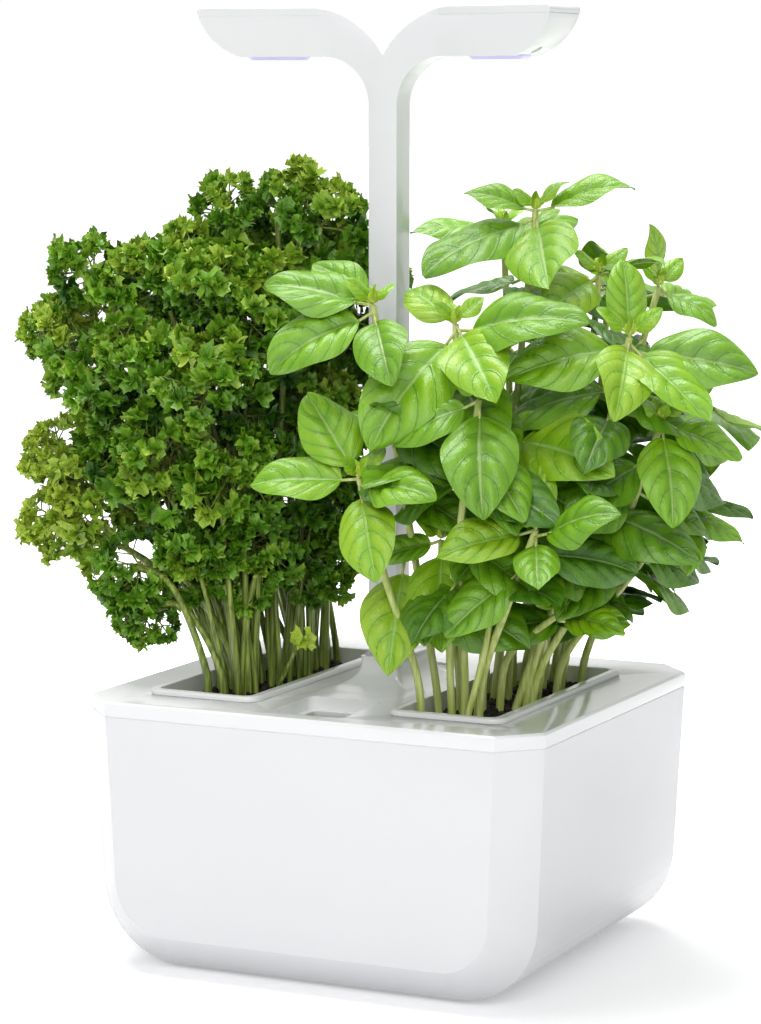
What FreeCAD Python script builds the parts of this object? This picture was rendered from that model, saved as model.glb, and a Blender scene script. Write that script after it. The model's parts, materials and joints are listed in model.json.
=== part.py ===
"""Countertop hydroponic garden: a two-slot water tank, a lift-off deck with two
planted cartridges, and a Y-shaped lamp that plugs into the deck.

Millimetres. Origin: centre of the footprint on the table. +X right, +Y back, +Z up.
"""
import math
import os

import FreeCAD
import Part
from FreeCAD import Vector

# Overall sizes
HEIGHT = 335.0
DECK_W = 173.0
DECK_D = 157.7
DECK_TOP = 96.2
DECK_BAND = 5.4
DECK_PLATE = 3.0
CORNER_X = 12.7
CORNER_Y = 13.3

# Tank: flared U-shaped tub on four feet
FOOT_H = 1.2
FOOT_R = 6.0
FOOT_X = 42.0
FOOT_Y = 50.0
WALL = 2.5
SIDE_LEAN = 0.048
FACE_LEAN = 0.026
TUB_RADIUS = 30.0
GROOVE = 0.4

# Two slots and the planted cartridges that hang in them
SLOT_X0 = 28.5
SLOT_X1 = 64.5
SLOT_Y0 = -57.0
SLOT_Y1 = 48.0
TRAY_WALL = 1.3
TRAY_FIT = 0.35
FLANGE_X = 3.6
FLANGE_Y = 2.9
FLANGE_H = 2.0
TRAY_BOTTOM = 42.0
SOIL_TOP = 89.0
WICK_BOTTOM = 6.0
WICK_W = 12.0
WICK_T = 2.0
WICK_SPOTS = (-42.0, -4.5, 33.0)

# Filler pocket, filler hole and float at the front of the deck
POCKET_X = 14.0
POCKET_Y0 = -71.0
POCKET_Y1 = -38.0
POCKET_DEPTH = 4.5
POCKET_FLOOR = 2.0
FILLER_X = 11.0
FILLER_Y0 = -53.5
FILLER_Y1 = -41.0
FLOAT_X = 4.5
FLOAT_Y = -63.0
FLOAT_R = 6.6
FLOAT_TRAVEL = 12.0
CAGE_R = 8.3
CAGE_BOTTOM = 55.0

# Pedestal and sealed chamber in the middle of the deck
COLLAR_TOP = 107.0
COLLAR_X = 7.5
COLLAR_Y0 = -12.7
COLLAR_Y1 = 18.0
CHAMBER_X = 23.5
CHAMBER_Y0 = -14.0
CHAMBER_Y1 = 72.0
CHAMBER_BOTTOM = 68.0
BOARD_Z = 84.0
BOARD_T = 1.6
JACK_Z = 101.6
JACK_W = 9.0
JACK_L = 12.0
JACK_BORE_R = 3.0
BUTTON_Y = 45.0
BUTTON_R = 4.5
BUTTON_TRAVEL = 1.0

# Lamp
COLUMN_X = 5.35
COLUMN_Y0 = -9.6
COLUMN_Y1 = 1.2
COLUMN_BOTTOM = 97.0
HEAD_START = 302.0
ARM_BOTTOM = 318.0
ARM_TIP = 67.3
ARM_Y0 = -20.5
ARM_Y1 = 6.6
VALLEY_Z = 318.6
CREASE_X = 17.0
CREASE_Z = 330.0
WEDGE_REACH = 48.35
PRISM_INNER = 160.0
PRISM_DOWN = 420.0
COVER_T = 2.8
ARM_WALL = 2.0
CABLE_R = 1.1
LENS_X0 = 31.0
LENS_X1 = 53.0
LENS_MARGIN = 4.0
LENS_BULGE = 1.1

CHANNEL_Y = (COLUMN_Y0 + COLUMN_Y1) / 2
SIDES = (("left", -1), ("right", 1))

# Basil: where each sprig sits, then its leaves as (azimuth, droop, length) in degrees and mm
LEAF_T = 1.0
LEAF_WIDTH = 0.56
BASIL_SPRIGS = (
    ((54, 0, 265), ((-162, -12, 26), (18, -12, 36), (-60, 30, 46), (-130, 25, 48), (110, 5, 34))),
    ((14, -46, 234), ((-172, -8, 40), (165, -26, 30), (-150, 32, 42), (-50, 42, 36))),
    ((42, -40, 228), ((155, -22, 28), (-42, 36, 42), (0, -4, 50), (-130, 52, 52))),
    ((97, -20, 224), ((130, -70, 28), (-80, 46, 38), (-18, 36, 42), (-150, 16, 44), (20, 10, 44))),
    ((78, -55, 162), ((115, -60, 26), (-143, 15, 36), (-10, -16, 36), (-65, 32, 28))),
    ((18, -65, 177), ((-165, 5, 38), (158, -45, 38), (-12, 5, 34), (-48, 55, 38))),
    ((88, 30, 238), ((-98, -70, 24), (0, 32, 26), (80, 10, 36), (170, 15, 32))),
    ((28, 32, 258), ((-135, 4, 36), (150, 10, 34), (60, -5, 34), (-30, 10, 30))),
    ((56, -52, 204), ((-62, 58, 46), (-160, 30, 34))),
    ((58, -32, 190), ((-12, 14, 46), (120, 10, 34))),
    ((108, -18, 196), ((-58, 60, 40), (10, 25, 30), (70, 20, 36))),
    ((104, 10, 164), ((15, 30, 26), (-60, 54, 28), (95, 20, 32))),
    ((76, -30, 130), ((-10, 10, 28), (-70, -40, 24), (40, 5, 26))),
    ((36, -38, 154), ((-65, 58, 42), (-165, 20, 24))),
    ((60, 54, 238), ((90, 25, 34), (0, 15, 40), (180, 12, 38), (-80, -35, 30))),
    ((96, 48, 196), ((75, 30, 40), (-10, 20, 38), (150, 25, 36), (110, 60, 34))),
    ((34, 50, 196), ((110, 35, 40), (30, 25, 36), (-150, 8, 26), (170, 50, 32))),
    ((66, 56, 158), ((95, 30, 34), (20, 30, 34), (160, 35, 34), (60, 65, 30))),
    ((46, 44, 128), ((130, 10, 28), (50, 15, 30), (-20, 5, 24))),
)
BASIL_STEM_R = 1.5
LEAF_START = 3.4
SPRIG_R = 3.2
NECK_Z = 106.0
STEM_SIDES = 8

# Parsley: clumps of leaflets as (x, y, z, radius)
PARSLEY_CLUMPS = (
    (-45, 5, 264, 13), (-30, 2, 258, 14), (-66, 0, 260, 12), (-74, -8, 243, 17),
    (-92, -10, 236, 17), (-56, -24, 232, 19), (-118, -8, 240, 13), (-132, -14, 219, 9),
    (-114, -10, 212, 18), (-86, -30, 208, 20), (-54, -34, 205, 20), (-40, -14, 226, 20),
    (-34, 18, 236, 21), (-98, -22, 184, 17), (-131, -12, 174, 10), (-112, -16, 160, 18),
    (-131, -12, 148, 10), (-74, -30, 176, 20), (-46, -30, 176, 19), (-34, 2, 190, 20),
    (-36, 10, 160, 19), (-84, -36, 138, 12), (-80, -36, 122, 9), (-60, -30, 148, 17),
    (-44, -24, 146, 15), (-34, 4, 138, 13), (-66, 28, 240, 21), (-98, 24, 214, 20),
    (-60, 44, 206, 21), (-90, 34, 178, 20), (-54, 40, 170, 20), (-76, 30, 148, 17),
    (-40, 34, 206, 18), (-118, 14, 186, 14),
)
PARSLEY_STEM_R = 1.5
PARSLEY_STEMS = 22


def box(x0, x1, y0, y1, z0, z1):
    return Part.makeBox(x1 - x0, y1 - y0, z1 - z0, Vector(x0, y0, z0))


def cylinder(x, y, z0, z1, r):
    return Part.makeCylinder(r, z1 - z0, Vector(x, y, z0))


def rod(start, end, r):
    start, end = Vector(*start), Vector(*end)
    return Part.makeCylinder(r, (end - start).Length, start, end - start)


def rounded_wire(x0, x1, y0, y1, z, r):
    """Rectangle in a level plane with four rounded corners."""
    k = r * (1 - math.sqrt(0.5))
    corners = (
        (Vector(x1 - r, y0, z), Vector(x1 - k, y0 + k, z), Vector(x1, y0 + r, z)),
        (Vector(x1, y1 - r, z), Vector(x1 - k, y1 - k, z), Vector(x1 - r, y1, z)),
        (Vector(x0 + r, y1, z), Vector(x0 + k, y1 - k, z), Vector(x0, y1 - r, z)),
        (Vector(x0, y0 + r, z), Vector(x0 + k, y0 + k, z), Vector(x0 + r, y0, z)),
    )
    edges = []
    for i, (a, b, c) in enumerate(corners):
        edges.append(Part.Arc(a, b, c).toShape())
        edges.append(Part.LineSegment(c, corners[(i + 1) % 4][0]).toShape())
    return Part.Wire(edges)


def rounded_box(x0, x1, y0, y1, z0, z1, r):
    return Part.Face(rounded_wire(x0, x1, y0, y1, z0, r)).extrude(Vector(0, 0, z1 - z0))


def octagon(inset, z0, z1):
    """Prism of the deck's outline, drawn in by inset all round."""
    x, y = DECK_W / 2 - inset, DECK_D / 2 - inset
    cx, cy = CORNER_X - 0.4 * inset, CORNER_Y - 0.4 * inset
    points = [
        (x - cx, -y), (x, -y + cy), (x, y - cy), (x - cx, y),
        (-x + cx, y), (-x, y - cy), (-x, -y + cy), (-x + cx, -y),
    ]
    wire = Part.makePolygon([Vector(px, py, z0) for px, py in points + points[:1]])
    return Part.Face(wire).extrude(Vector(0, 0, z1 - z0))


def mirrored(shape, side):
    """The shape itself on the right, its mirror image on the left."""
    if side > 0:
        return shape
    return shape.mirror(Vector(0, 0, 0), Vector(1, 0, 0))


def save(name, shape):
    solids = shape.Solids
    shape = solids[0] if len(solids) == 1 else Part.makeCompound(solids)
    shape.exportStep("parts/" + name + ".step")


def u_wire(inset, y, facet, side):
    """U outline of the tub in a plane that leans in towards the foot of the tub."""
    top = DECK_TOP - DECK_BAND
    low = FOOT_H + inset + facet
    half_top = DECK_W / 2 - GROOVE / 2 - inset - facet
    r = TUB_RADIUS - inset - facet * 0.92
    lean = math.atan(SIDE_LEAN)
    half_low = half_top - SIDE_LEAN * (top - low)
    turn = r * math.tan((math.pi / 2 - lean) / 2)
    centre_x, centre_z = half_low - turn, low + r
    mid = math.radians(-45) - lean / 2
    side_x = centre_x + r * math.cos(lean)
    side_z = centre_z - r * math.sin(lean)

    def place(x, z):
        return Vector(x, y + side * FACE_LEAN * (top - z), z)

    arc_mid = (centre_x + r * math.cos(mid), centre_z + r * math.sin(mid))
    edges = [
        Part.LineSegment(place(-half_top, top), place(-side_x, side_z)).toShape(),
        Part.Arc(place(-side_x, side_z), place(-arc_mid[0], arc_mid[1]), place(-centre_x, low)).toShape(),
        Part.LineSegment(place(-centre_x, low), place(centre_x, low)).toShape(),
        Part.Arc(place(centre_x, low), place(*arc_mid), place(side_x, side_z)).toShape(),
        Part.LineSegment(place(side_x, side_z), place(half_top, top)).toShape(),
        Part.LineSegment(place(half_top, top), place(-half_top, top)).toShape(),
    ]
    return Part.Wire(edges)


def tub_solid(inset):
    half = DECK_D / 2 - GROOVE / 2
    wires = [
        u_wire(inset, -(half - inset), CORNER_X, 1),
        u_wire(inset, -(half - CORNER_Y), 0, 1),
        u_wire(inset, half - CORNER_Y, 0, -1),
        u_wire(inset, half - inset, CORNER_X, -1),
    ]
    return Part.makeLoft(wires, True, True)


def tank_shell():
    shell = tub_solid(0).cut(tub_solid(WALL))
    shell = shell.cut(box(-200, 200, -200, 200, DECK_TOP - DECK_BAND - 0.001, 200))
    for x in (-FOOT_X, FOOT_X):
        for y in (-FOOT_Y, FOOT_Y):
            shell = shell.cut(cylinder(x, y, 0, FOOT_H + 1.0, FOOT_R))
    return shell


def foot(x, y):
    pad = cylinder(x, y, 0, FOOT_H + 1.0, FOOT_R)
    return pad.makeChamfer(0.4, [pad.Edges[2]]) if pad.Edges[2].BoundBox.ZMax < 0.1 else pad


def pedestal():
    """Collar that flares out smoothly into the deck."""
    flare = (
        (DECK_TOP - 1.0, 20.5, -35.0, 27.0, 4.0),
        (DECK_TOP + 0.3, 16.8, -28.5, 24.8, 3.6),
        (DECK_TOP + 1.4, 13.0, -20.5, 21.6, 3.0),
        (DECK_TOP + 3.2, 9.9, -15.6, 19.3, 2.2),
        (DECK_TOP + 5.2, 8.3, -13.6, 18.4, 1.6),
        (COLLAR_TOP, COLLAR_X, COLLAR_Y0, COLLAR_Y1, 1.4),
    )
    wires = [rounded_wire(-x, x, y0, y1, z, r) for z, x, y0, y1, r in flare]
    return Part.makeLoft(wires, True, False)


def deck_bosses():
    """Posts under the plate: four for the chamber's screws and four for the board."""
    posts = []
    for x, y in chamber_screw_spots():
        posts.append(cylinder(x, y, BOARD_Z - 4, DECK_TOP - 1, 3.5))
    for x, y in board_screw_spots():
        posts.append(cylinder(x, y, BOARD_Z + BOARD_T, DECK_TOP - 1, 2.5))
    return posts


def chamber_screw_spots():
    return [(x, y) for x in (-17.5, 17.5) for y in (-8.5, 66.0)]


def board_screw_spots():
    return [(x, y) for x in (-14.0, 14.0) for y in (10.0, 54.0)]


def deck_tray():
    low = DECK_TOP - DECK_BAND
    rim = octagon(0, low, DECK_TOP)
    rim = rim.makeChamfer(0.8, [e for e in rim.Edges if e.BoundBox.ZMin > DECK_TOP - 0.01])
    rim = rim.makeChamfer(GROOVE, [e for e in rim.Edges if e.BoundBox.ZMax < low + 0.01])
    deck = rim.cut(octagon(6.0, low - 1, DECK_TOP - DECK_PLATE))
    lip = octagon(WALL + 1.6, low - 5.0, DECK_TOP - 1).cut(octagon(WALL + 3.6, low - 6, DECK_TOP))
    pocket_low = DECK_TOP - POCKET_DEPTH - POCKET_FLOOR
    pocket_pan = rounded_box(
        -POCKET_X - 2, POCKET_X + 2, POCKET_Y0 - 2, POCKET_Y1 + 2, pocket_low, DECK_TOP - 1, 5
    )
    deck = deck.fuse([lip, pocket_pan, pedestal()] + deck_bosses())
    deck = deck.cut(
        rounded_box(-POCKET_X, POCKET_X, POCKET_Y0, POCKET_Y1, DECK_TOP - POCKET_DEPTH, DECK_TOP + 1, 3)
    )
    deck = deck.cut(
        rounded_box(-FILLER_X, FILLER_X, FILLER_Y0, FILLER_Y1, pocket_low - 1, DECK_TOP, 2)
    )
    deck = deck.cut(cylinder(FLOAT_X, FLOAT_Y, pocket_low - 1, DECK_TOP, 2.1))
    for side in (-1, 1):
        hole = rounded_box(
            SLOT_X0 - TRAY_WALL - TRAY_FIT, SLOT_X1 + TRAY_WALL + TRAY_FIT,
            SLOT_Y0 - TRAY_WALL - TRAY_FIT, SLOT_Y1 + TRAY_WALL + TRAY_FIT,
            low - 10, DECK_TOP + 1, 4.6,
        )
        deck = deck.cut(mirrored(hole, side))
    tenon = box(-COLUMN_X - 0.15, COLUMN_X + 0.15, COLUMN_Y0 - 0.15, COLUMN_Y1 + 0.15, low, COLLAR_TOP + 1)
    deck = deck.cut(tenon)
    half = JACK_W / 2
    deck = deck.cut(box(-half, half, COLLAR_Y1 - JACK_L, 40, JACK_Z - half, JACK_Z + half))
    deck = deck.cut(box(-half, half, COLLAR_Y1 - JACK_L, COLLAR_Y1 - 2, low, JACK_Z))
    deck = deck.cut(box(-6.5, 6.5, COLLAR_Y1, 40, DECK_TOP, COLLAR_TOP + 1))
    deck = deck.cut(cylinder(0, BUTTON_Y, low, DECK_TOP + 1, BUTTON_R + 0.15))
    for x, y in chamber_screw_spots():
        deck = deck.cut(cylinder(x, y, BOARD_Z - 5, DECK_TOP - 4, 1.4))
    for x, y in board_screw_spots():
        deck = deck.cut(cylinder(x, y, BOARD_Z, DECK_TOP - 4, 1.0))
    return deck


def chamber_cover():
    """Sealed tub under the deck that keeps water off the board."""
    top = DECK_TOP - DECK_PLATE - 0.5
    cover = rounded_box(-CHAMBER_X, CHAMBER_X, CHAMBER_Y0, CHAMBER_Y1, CHAMBER_BOTTOM, top, 4)
    cover = cover.cut(
        rounded_box(
            -CHAMBER_X + 2, CHAMBER_X - 2, CHAMBER_Y0 + 2, CHAMBER_Y1 - 2, CHAMBER_BOTTOM + 2, top + 1, 3
        )
    )
    posts = [cylinder(x, y, CHAMBER_BOTTOM, BOARD_Z - 4, 3.5) for x, y in chamber_screw_spots()]
    cover = cover.fuse(posts)
    for x, y in chamber_screw_spots():
        cover = cover.cut(cylinder(x, y, CHAMBER_BOTTOM - 1, BOARD_Z, 1.6))
    return cover


def chamber_seal():
    top = DECK_TOP - DECK_PLATE
    ring = rounded_box(-CHAMBER_X, CHAMBER_X, CHAMBER_Y0, CHAMBER_Y1, top - 0.5, top, 4)
    return ring.cut(
        rounded_box(-CHAMBER_X + 2, CHAMBER_X - 2, CHAMBER_Y0 + 2, CHAMBER_Y1 - 2, top - 1, top + 1, 3)
    )


def screws(spots, z0, z1, r):
    """Pan-head screws driven up from below."""
    made = []
    for x, y in spots:
        shank = cylinder(x, y, z0, z1, r)
        head = cylinder(x, y, z0 - 1.6, z0, 2 * r)
        cross = box(x - r, x + r, y - 0.3, y + 0.3, z0 - 1.6, z0 - 0.9)
        cross = cross.fuse(box(x - 0.3, x + 0.3, y - r, y + r, z0 - 1.6, z0 - 0.9))
        made.append(shank.fuse(head).cut(cross))
    return Part.makeCompound(made)


def control_board():
    board = box(-20, 20, 5, 60, BOARD_Z, BOARD_Z + BOARD_T)
    for x, y in board_screw_spots():
        board = board.cut(cylinder(x, y, BOARD_Z - 1, BOARD_Z + 3, 1.1))
    return board


def board_parts():
    """What stands under the board: capacitor, driver chip, coil and two plugs."""
    low = BOARD_Z
    return Part.makeCompound([
        cylinder(-8, 22, low - 9, low, 4.0),
        box(2, 12, 18, 28, low - 1.8, low),
        box(-6, 4, 34, 44, low - 5, low),
        box(-12, -2, 48, 54, low - 6, low),
        box(5, 11, 48, 54, low - 6, low),
    ])


def tact_switch():
    z = BOARD_Z + BOARD_T
    body = box(-3, 3, BUTTON_Y - 3, BUTTON_Y + 3, z, z + 3.4)
    return body.fuse(cylinder(0, BUTTON_Y, z + 3.4, z + 4.4, 1.7))


def timer_button():
    plate = DECK_TOP - DECK_PLATE
    cap = cylinder(0, BUTTON_Y, plate, DECK_TOP + 0.9, BUTTON_R)
    cap = cap.makeFillet(0.5, [e for e in cap.Edges if e.BoundBox.ZMin > DECK_TOP])
    flange = cylinder(0, BUTTON_Y, plate - 1.0, plate, BUTTON_R + 1.1)
    stem = cylinder(0, BUTTON_Y, BOARD_Z + BOARD_T + 4.4 + BUTTON_TRAVEL + 0.2, plate - 1.0, 1.5)
    return cap.fuse([flange, stem])


def power_jack():
    half = JACK_W / 2 - 0.02
    y0, y1 = COLLAR_Y1 - JACK_L, COLLAR_Y1
    body = box(-half, half, y0, y1, JACK_Z - half, JACK_Z + half)
    bore = Part.makeCylinder(JACK_BORE_R, 9.5, Vector(0, y1 - 9.5, JACK_Z), Vector(0, 1, 0))
    return body.cut(bore)


def jack_pin():
    return Part.makeCylinder(1.0, 8.5, Vector(0, COLLAR_Y1 - 9.5, JACK_Z), Vector(0, 1, 0))


def column_socket():
    """Socket in the deck that takes the lamp's two contact pins."""
    block = box(-COLUMN_X, COLUMN_X, COLUMN_Y0, COLUMN_Y1, 87.0, COLUMN_BOTTOM - 0.4)
    for x in (-1.3, 1.3):
        block = block.cut(cylinder(x, CHANNEL_Y, 91.0, COLUMN_BOTTOM, 0.8))
    return block


def collar_seal():
    """Soft lip round the column where it enters the pedestal."""
    ring = rounded_box(-6.7, 6.7, COLUMN_Y0 - 1.4, COLUMN_Y1 + 1.4, COLLAR_TOP, COLLAR_TOP + 0.8, 1.6)
    hole = box(-COLUMN_X - 0.15, COLUMN_X + 0.15, COLUMN_Y0 - 0.15, COLUMN_Y1 + 0.15, 100, 120)
    return ring.cut(hole)


def float_cage():
    """Slotted tube under the pocket that guides the float."""
    top = DECK_TOP - POCKET_DEPTH - POCKET_FLOOR
    cage = cylinder(FLOAT_X, FLOAT_Y, CAGE_BOTTOM, top, CAGE_R)
    cage = cage.cut(cylinder(FLOAT_X, FLOAT_Y, CAGE_BOTTOM + 1.5, top + 1, CAGE_R - 1.2))
    cage = cage.cut(cylinder(FLOAT_X, FLOAT_Y, CAGE_BOTTOM - 1, CAGE_BOTTOM + 2, 4.0))
    window = (CAGE_BOTTOM + 6, top - 6)
    cage = cage.cut(box(FLOAT_X - 10, FLOAT_X + 10, FLOAT_Y - 1.5, FLOAT_Y + 1.5, *window))
    return cage.cut(box(FLOAT_X - 1.5, FLOAT_X + 1.5, FLOAT_Y - 10, FLOAT_Y + 10, *window))


def float_body():
    low = CAGE_BOTTOM + 1.8
    top = DECK_TOP - POCKET_DEPTH - POCKET_FLOOR - FLOAT_TRAVEL - 1.0
    body = cylinder(FLOAT_X, FLOAT_Y, low, top, FLOAT_R)
    return body.cut(cylinder(FLOAT_X, FLOAT_Y, low + 2, top + 1, 1.6))


def float_rod():
    low = CAGE_BOTTOM + 1.8 + 2
    rod_solid = cylinder(FLOAT_X, FLOAT_Y, low, DECK_TOP - POCKET_DEPTH + 1.6, 1.6)
    return rod_solid.makeFillet(0.7, [rod_solid.Edges[0]])


def tray(side):
    """Cartridge frame: a box that hangs in the deck's slot by its flange."""
    outer = rounded_box(
        SLOT_X0 - TRAY_WALL, SLOT_X1 + TRAY_WALL, SLOT_Y0 - TRAY_WALL, SLOT_Y1 + TRAY_WALL,
        TRAY_BOTTOM, DECK_TOP, 4.3,
    )
    flange = rounded_box(
        SLOT_X0 - FLANGE_X, SLOT_X1 + FLANGE_X, SLOT_Y0 - FLANGE_Y, SLOT_Y1 + FLANGE_Y,
        DECK_TOP, DECK_TOP + FLANGE_H, 5.5,
    )
    rim = [e for e in flange.Edges if e.BoundBox.ZMin > DECK_TOP + FLANGE_H - 0.01]
    flange = flange.makeChamfer(0.6, rim)
    inner = rounded_box(
        SLOT_X0, SLOT_X1, SLOT_Y0, SLOT_Y1, TRAY_BOTTOM + 1.5, DECK_TOP + FLANGE_H + 1, 3
    )
    frame = outer.fuse(flange).cut(inner)
    for slot in wick_boxes(0.15):
        frame = frame.cut(slot)
    return mirrored(frame, side)


def wick_boxes(clearance):
    middle = (SLOT_X0 + SLOT_X1) / 2
    half_w, half_t = WICK_W / 2 + clearance, WICK_T / 2 + clearance
    return [
        box(middle - half_w, middle + half_w, y - half_t, y + half_t, WICK_BOTTOM, TRAY_BOTTOM + 22)
        for y in WICK_SPOTS
    ]


def substrate(side):
    block = rounded_box(SLOT_X0, SLOT_X1, SLOT_Y0, SLOT_Y1, TRAY_BOTTOM + 1.5, SOIL_TOP, 3)
    for slot in wick_boxes(0):
        block = block.cut(slot)
    return mirrored(block, side)


def wicks(side):
    return mirrored(Part.makeCompound(wick_boxes(0)), side)


def head_face():
    """Front view of the whole lamp, from the foot of the column to the tips of the arms."""
    def v(x, z):
        return Vector(x, 0, z)

    def half(s):
        return [
            Part.LineSegment(v(s * COLUMN_X, COLUMN_BOTTOM), v(s * COLUMN_X, HEAD_START)),
            Part.Arc(v(s * COLUMN_X, HEAD_START), v(s * 9.7, 312.2), v(s * 24.0, ARM_BOTTOM)),
            Part.LineSegment(v(s * 24.0, ARM_BOTTOM), v(s * 52.0, ARM_BOTTOM)),
            Part.Arc(v(s * 52.0, ARM_BOTTOM), v(s * 61.6, 323.4), v(s * ARM_TIP, 333.0)),
            Part.Arc(v(s * ARM_TIP, 333.0), v(s * 67.1, 334.4), v(s * 65.6, HEIGHT)),
            Part.LineSegment(v(s * 65.6, HEIGHT), v(s * 25.0, HEIGHT)),
            Part.Arc(v(s * 25.0, HEIGHT), v(s * 11.8, 330.2), v(0, VALLEY_Z)),
        ]

    curves = [Part.LineSegment(v(-COLUMN_X, COLUMN_BOTTOM), v(COLUMN_X, COLUMN_BOTTOM))]
    curves += half(1) + half(-1)
    edges = Part.sortEdges([c.toShape() for c in curves])[0]
    return Part.Face(Part.Wire(edges))


def depth_prism(inset, side):
    """Depth of the lamp: as thin as the column up to the crease, then a wedge to the tip."""
    crease = Vector(CREASE_X, 0, CREASE_Z)
    reach = WEDGE_REACH
    y0, y1 = COLUMN_Y0 + inset, COLUMN_Y1 - inset
    points = [
        (-PRISM_INNER, y0), (0, y0), (reach + 10, ARM_Y0 + inset + (ARM_Y0 - COLUMN_Y0) * 10 / reach),
        (reach + 10, ARM_Y1 - inset + (ARM_Y1 - COLUMN_Y1) * 10 / reach), (0, y1), (-PRISM_INNER, y1),
    ]
    wire = Part.makePolygon([Vector(x, y, -PRISM_DOWN) for x, y in points + points[:1]])
    prism = Part.Face(wire).extrude(Vector(0, 0, PRISM_DOWN + 100))
    prism.rotate(Vector(0, 0, 0), Vector(0, 1, 0), -math.degrees(math.atan2(5, 12)))
    prism.translate(crease)
    return mirrored(prism, side)


def lamp_solid():
    face = head_face()
    face.translate(Vector(0, -40, 0))
    body = face.extrude(Vector(0, 80, 0))
    return body.common(depth_prism(0, 1).fuse(depth_prism(0, -1)))


def arm_plan(x0, x1, margin, z0, z1, r):
    """Rounded prism that follows the arm's wedge in plan, a margin inside its faces."""
    def edge(x, start, end):
        s = ((x - CREASE_X) * 12 + (ARM_BOTTOM - CREASE_Z) * 5) / 13
        return start + (end - start) * s / WEDGE_REACH

    points = [
        Vector(x0, edge(x0, COLUMN_Y0, ARM_Y0) + margin, z0),
        Vector(x1, edge(x1, COLUMN_Y0, ARM_Y0) + margin, z0),
        Vector(x1, edge(x1, COLUMN_Y1, ARM_Y1) - margin, z0),
        Vector(x0, edge(x0, COLUMN_Y1, ARM_Y1) - margin, z0),
    ]
    prism = Part.Face(Part.makePolygon(points + points[:1])).extrude(Vector(0, 0, z1 - z0))
    upright = [e for e in prism.Edges if e.BoundBox.ZLength > (z1 - z0) * 0.9]
    return prism.makeFillet(r, upright)


def arm_tip_cut():
    """Space under the curved tip that the arm's inside must not reach."""
    tip = Part.makePolygon([
        Vector(54.0, -40, 310), Vector(54.0, -40, 320.2), Vector(60.5, -40, 326.0),
        Vector(64.5, -40, 333), Vector(80, -40, 333), Vector(80, -40, 310), Vector(54.0, -40, 310),
    ])
    return Part.Face(tip).extrude(Vector(0, 80, 0))


def lens_opening(grow, z0, z1):
    return arm_plan(LENS_X0 - grow, LENS_X1 + grow, LENS_MARGIN - grow, z0, z1, 3.0 + grow)


def screw_spots():
    """Screws under each arm: x, y and how far the seat is raised where the tip curves up."""
    return [(26.6, -5.0, 0.0), (56.5, -6.5, 2.6)]


def lamp_housing():
    body = lamp_solid()
    roof = HEIGHT - COVER_T
    body = body.cut(box(-3, 3, CHANNEL_Y - 3, CHANNEL_Y + 3, COLUMN_BOTTOM - 1, 312))
    for _, side in SIDES:
        body = body.cut(mirrored(box(22, 80, -40, 40, roof, HEIGHT + 1), side))
        inside = arm_plan(24, 61, ARM_WALL, ARM_BOTTOM + ARM_WALL, roof + 1, 1.5).cut(arm_tip_cut())
        body = body.cut(mirrored(inside, side))
        duct = rod((0, CHANNEL_Y, 309.5), (28, CHANNEL_Y, 328.0), 2.0)
        body = body.cut(mirrored(duct, side))
        body = body.cut(mirrored(lens_opening(0.1, ARM_BOTTOM - 2, ARM_BOTTOM + 4), side))
        for x, y, rise in screw_spots():
            seat = ARM_BOTTOM + rise
            body = body.cut(mirrored(cylinder(x, y, ARM_BOTTOM - 3, seat + 4, 1.2), side))
            body = body.cut(mirrored(cylinder(x, y, ARM_BOTTOM - 3, seat + 0.9, 2.0), side))
    return body


def arm_cover(side):
    """Lid over one arm, parted from the housing just under the top."""
    roof = HEIGHT - COVER_T
    cover = lamp_solid().common(box(22, 80, -40, 40, roof, HEIGHT + 1))
    rib = arm_plan(25.6, 60, ARM_WALL + 0.15, roof - 1.6, roof, 1.4)
    rib = rib.cut(arm_plan(26.8, 58.8, ARM_WALL + 1.35, roof - 2, roof + 1, 0.8))
    return mirrored(cover.fuse(rib.cut(arm_tip_cut())), side)


def heat_plate(side):
    return mirrored(arm_plan(29, 54.6, ARM_WALL + 0.4, 324.4, 325.9, 1.5), side)


def led_board(side):
    return mirrored(arm_plan(30, 54, ARM_WALL + 0.9, 322.8, 324.4, 1.5), side)


def leds(side):
    chips = []
    for column in range(5):
        for row in (-1, 0, 1):
            x = 34.0 + column * 4.4
            y = CHANNEL_Y - (x - CREASE_X) * 0.055 + row * 3.0
            chips.append(box(x - 1.4, x + 1.4, y - 1.4, y + 1.4, 322.1, 322.8))
    return mirrored(Part.makeCompound(chips), side)


def lens(side):
    """Diffuser with a shallow bulge under the arm and a step that seats inside it."""
    low = ARM_BOTTOM - LENS_BULGE
    dome = lens_opening(0, low, ARM_BOTTOM)
    dome = dome.makeChamfer(0.9, [e for e in dome.Edges if e.BoundBox.ZMax < low + 0.01])
    plug = lens_opening(0, ARM_BOTTOM, ARM_BOTTOM + ARM_WALL + 0.4)
    rim = lens_opening(1.0, ARM_BOTTOM + ARM_WALL + 0.4, ARM_BOTTOM + ARM_WALL + 1.6)
    shape = dome.fuse([plug, rim])
    return mirrored(shape.cut(lens_opening(-1.5, ARM_BOTTOM + 1.0, ARM_BOTTOM + 5)), side)


def lens_seal(side):
    z = ARM_BOTTOM + ARM_WALL
    return mirrored(lens_opening(1.0, z, z + 0.4).cut(lens_opening(0.1, z - 1, z + 1)), side)


def arm_screws():
    made = []
    for _, side in SIDES:
        for x, y, rise in screw_spots():
            seat = ARM_BOTTOM + rise
            shank = cylinder(x, y, seat + 0.9, seat + 3.8, 1.2)
            head = cylinder(x, y, seat + 0.1, seat + 0.9, 1.9)
            made.append(mirrored(shank.fuse(head), side))
    return Part.makeCompound(made)


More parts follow.
